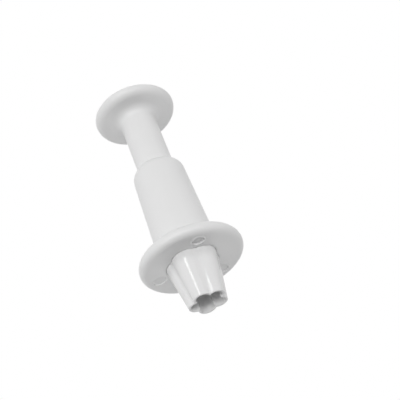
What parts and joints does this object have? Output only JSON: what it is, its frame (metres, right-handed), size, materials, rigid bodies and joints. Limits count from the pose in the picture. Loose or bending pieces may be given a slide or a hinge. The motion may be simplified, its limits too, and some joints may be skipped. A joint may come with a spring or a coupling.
{
  "type": "plunger cutter",
  "caption": "Sprung hand cutter for small icing blossoms: thumb disc on a sliding stem, tapered barrel with finger flange, fluted petal-shaped cutter and an ejecting embosser inside.",
  "frame": {"origin": "centre of the cutting edge, where the tool stands on the paste", "axes": "+Z along the plunger towards the thumb disc; one petal of the cutter points along -X"},
  "size_m": [0.031, 0.031, 0.0738],
  "materials": {
    "grip_plastic": "satin moulded white",
    "cutter_plastic": "polished moulded white",
    "inner_plastic": "natural unpigmented",
    "spring_steel": "drawn stainless wire"
  },
  "bodies": {
    "handle": {"grip_body": "grip_plastic", "blossom_cutter": "cutter_plastic", "guide_bush": "inner_plastic", "return_spring": "spring_steel"},
    "plunger": {"thumb_plunger": "grip_plastic", "push_rod": "inner_plastic", "stop_collar": "inner_plastic", "embosser": "cutter_plastic"}
  },
  "joints": [
    {"name": "plunger_press", "type": "slide", "parent": "handle", "child": "plunger", "axis": [0, 0, -1], "range_m": [0, 0.0095], "stiffness_N_per_m": 480, "springref_m": -0.004, "deforming": ["return_spring"]}
  ]
}
